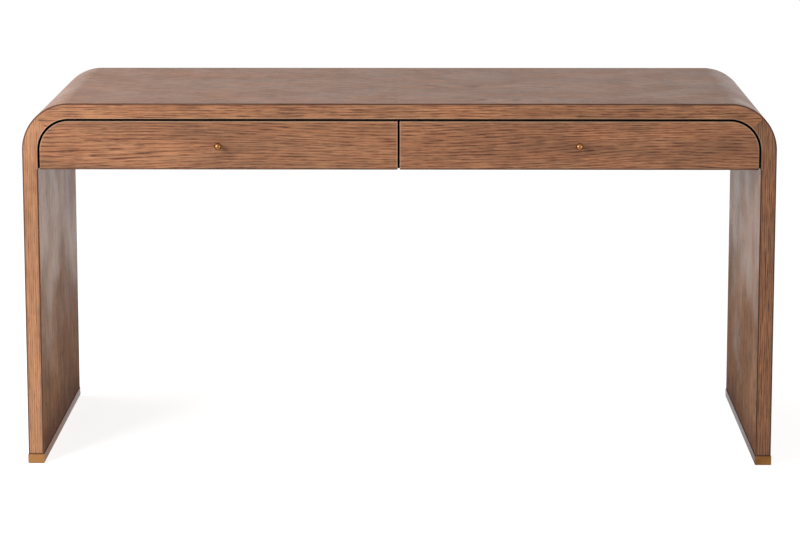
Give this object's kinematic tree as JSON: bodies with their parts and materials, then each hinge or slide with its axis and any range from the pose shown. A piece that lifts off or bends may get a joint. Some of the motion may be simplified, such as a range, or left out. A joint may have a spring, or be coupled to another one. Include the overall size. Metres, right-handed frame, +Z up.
{
  "type": "writing desk",
  "caption": "Waterfall writing desk: a rounded oak band for top and slab legs, flush drawers on telescopic slides, ball knobs and brass foot shoes.",
  "frame": {"origin": "on the floor under the middle of the whole desk, knobs and foot shoes included", "axes": "+X to the right seen from the front, along the desk's length; +Y from the drawer fronts to the back; +Z up"},
  "size_m": [1.6024, 0.6652, 0.784],
  "materials": {
    "oak_band": "brushed oak veneer, warm brown matt stain",
    "oak_fronts": "brushed oak with open dark pores, warm brown matt stain",
    "case_boards": "dark stained board, matt",
    "box_oak": "clear lacquered solid oak",
    "box_plywood": "clear lacquered plywood",
    "birch_joinery": "plain birch",
    "brushed_brass": "satin antique brass",
    "brass_screws": "satin brass",
    "slide_steel": "zinc plated",
    "screw_steel": "zinc plated"
  },
  "bodies": {
    "desk": {"back_panel": "oak_band", "case_bottom": "case_boards", "case_channel_screws": "screw_steel", "case_dowels": "birch_joinery", "case_screws": "screw_steel", "centre_divider": "case_boards", "corner_tongues": "birch_joinery", "front_edge_left": "oak_fronts", "front_edge_right": "oak_fronts", "front_edge_top": "oak_fronts", "left_case_side": "case_boards", "left_corner_bend": "oak_band", "left_drawer_inner_case_channel": "slide_steel", "left_drawer_outer_case_channel": "slide_steel", "left_foot_shoe": "brushed_brass", "left_leg_panel": "oak_band", "rear_edge_left": "oak_fronts", "rear_edge_right": "oak_fronts", "rear_edge_top": "oak_fronts", "right_case_side": "case_boards", "right_corner_bend": "oak_band", "right_drawer_inner_case_channel": "slide_steel", "right_drawer_outer_case_channel": "slide_steel", "right_foot_shoe": "brushed_brass", "right_leg_panel": "oak_band", "shoe_screws": "brass_screws", "top_panel": "oak_band"},
    "left_drawer": {"left_drawer_box_back": "box_oak", "left_drawer_box_bottom": "box_plywood", "left_drawer_box_front": "box_oak", "left_drawer_box_inner_side": "box_oak", "left_drawer_box_outer_side": "box_oak", "left_drawer_channel_screws": "screw_steel", "left_drawer_front": "oak_fronts", "left_drawer_front_screws": "screw_steel", "left_drawer_inner_drawer_channel": "slide_steel", "left_drawer_knob": "brushed_brass", "left_drawer_knob_screw": "screw_steel", "left_drawer_outer_drawer_channel": "slide_steel"},
    "right_drawer": {"right_drawer_box_back": "box_oak", "right_drawer_box_bottom": "box_plywood", "right_drawer_box_front": "box_oak", "right_drawer_box_inner_side": "box_oak", "right_drawer_box_outer_side": "box_oak", "right_drawer_channel_screws": "screw_steel", "right_drawer_front": "oak_fronts", "right_drawer_front_screws": "screw_steel", "right_drawer_inner_drawer_channel": "slide_steel", "right_drawer_knob": "brushed_brass", "right_drawer_knob_screw": "screw_steel", "right_drawer_outer_drawer_channel": "slide_steel"},
    "left_middle_channels": {"left_drawer_inner_middle_channel": "slide_steel", "left_drawer_outer_middle_channel": "slide_steel"},
    "right_middle_channels": {"right_drawer_inner_middle_channel": "slide_steel", "right_drawer_outer_middle_channel": "slide_steel"},
    "left_case_cages": {"left_drawer_case_cages": "slide_steel"},
    "right_case_cages": {"right_drawer_case_cages": "slide_steel"},
    "left_drawer_cages": {"left_drawer_drawer_cages": "slide_steel"},
    "right_drawer_cages": {"right_drawer_drawer_cages": "slide_steel"}
  },
  "joints": [
    {"name": "left_drawer_slide", "type": "slide", "parent": "desk", "child": "left_drawer", "axis": [0, -1, 0], "range_m": [0, 0.5]},
    {"name": "left_middle_channels_slide", "type": "slide", "parent": "desk", "child": "left_middle_channels", "axis": [0, -1, 0], "range_m": [0, 0.25]},
    {"name": "left_case_cages_slide", "type": "slide", "parent": "desk", "child": "left_case_cages", "axis": [0, -1, 0], "range_m": [0, 0.125]},
    {"name": "left_drawer_cages_slide", "type": "slide", "parent": "desk", "child": "left_drawer_cages", "axis": [0, -1, 0], "range_m": [0, 0.375]},
    {"name": "right_drawer_slide", "type": "slide", "parent": "desk", "child": "right_drawer", "axis": [0, -1, 0], "range_m": [0, 0.5]},
    {"name": "right_middle_channels_slide", "type": "slide", "parent": "desk", "child": "right_middle_channels", "axis": [0, -1, 0], "range_m": [0, 0.25]},
    {"name": "right_case_cages_slide", "type": "slide", "parent": "desk", "child": "right_case_cages", "axis": [0, -1, 0], "range_m": [0, 0.125]},
    {"name": "right_drawer_cages_slide", "type": "slide", "parent": "desk", "child": "right_drawer_cages", "axis": [0, -1, 0], "range_m": [0, 0.375]}
  ],
  "couplings": [
    {"joint": "left_middle_channels_slide", "follows": "left_drawer_slide", "ratio": 0.5},
    {"joint": "left_case_cages_slide", "follows": "left_drawer_slide", "ratio": 0.25},
    {"joint": "left_drawer_cages_slide", "follows": "left_drawer_slide", "ratio": 0.75},
    {"joint": "right_middle_channels_slide", "follows": "right_drawer_slide", "ratio": 0.5},
    {"joint": "right_case_cages_slide", "follows": "right_drawer_slide", "ratio": 0.25},
    {"joint": "right_drawer_cages_slide", "follows": "right_drawer_slide", "ratio": 0.75}
  ]
}
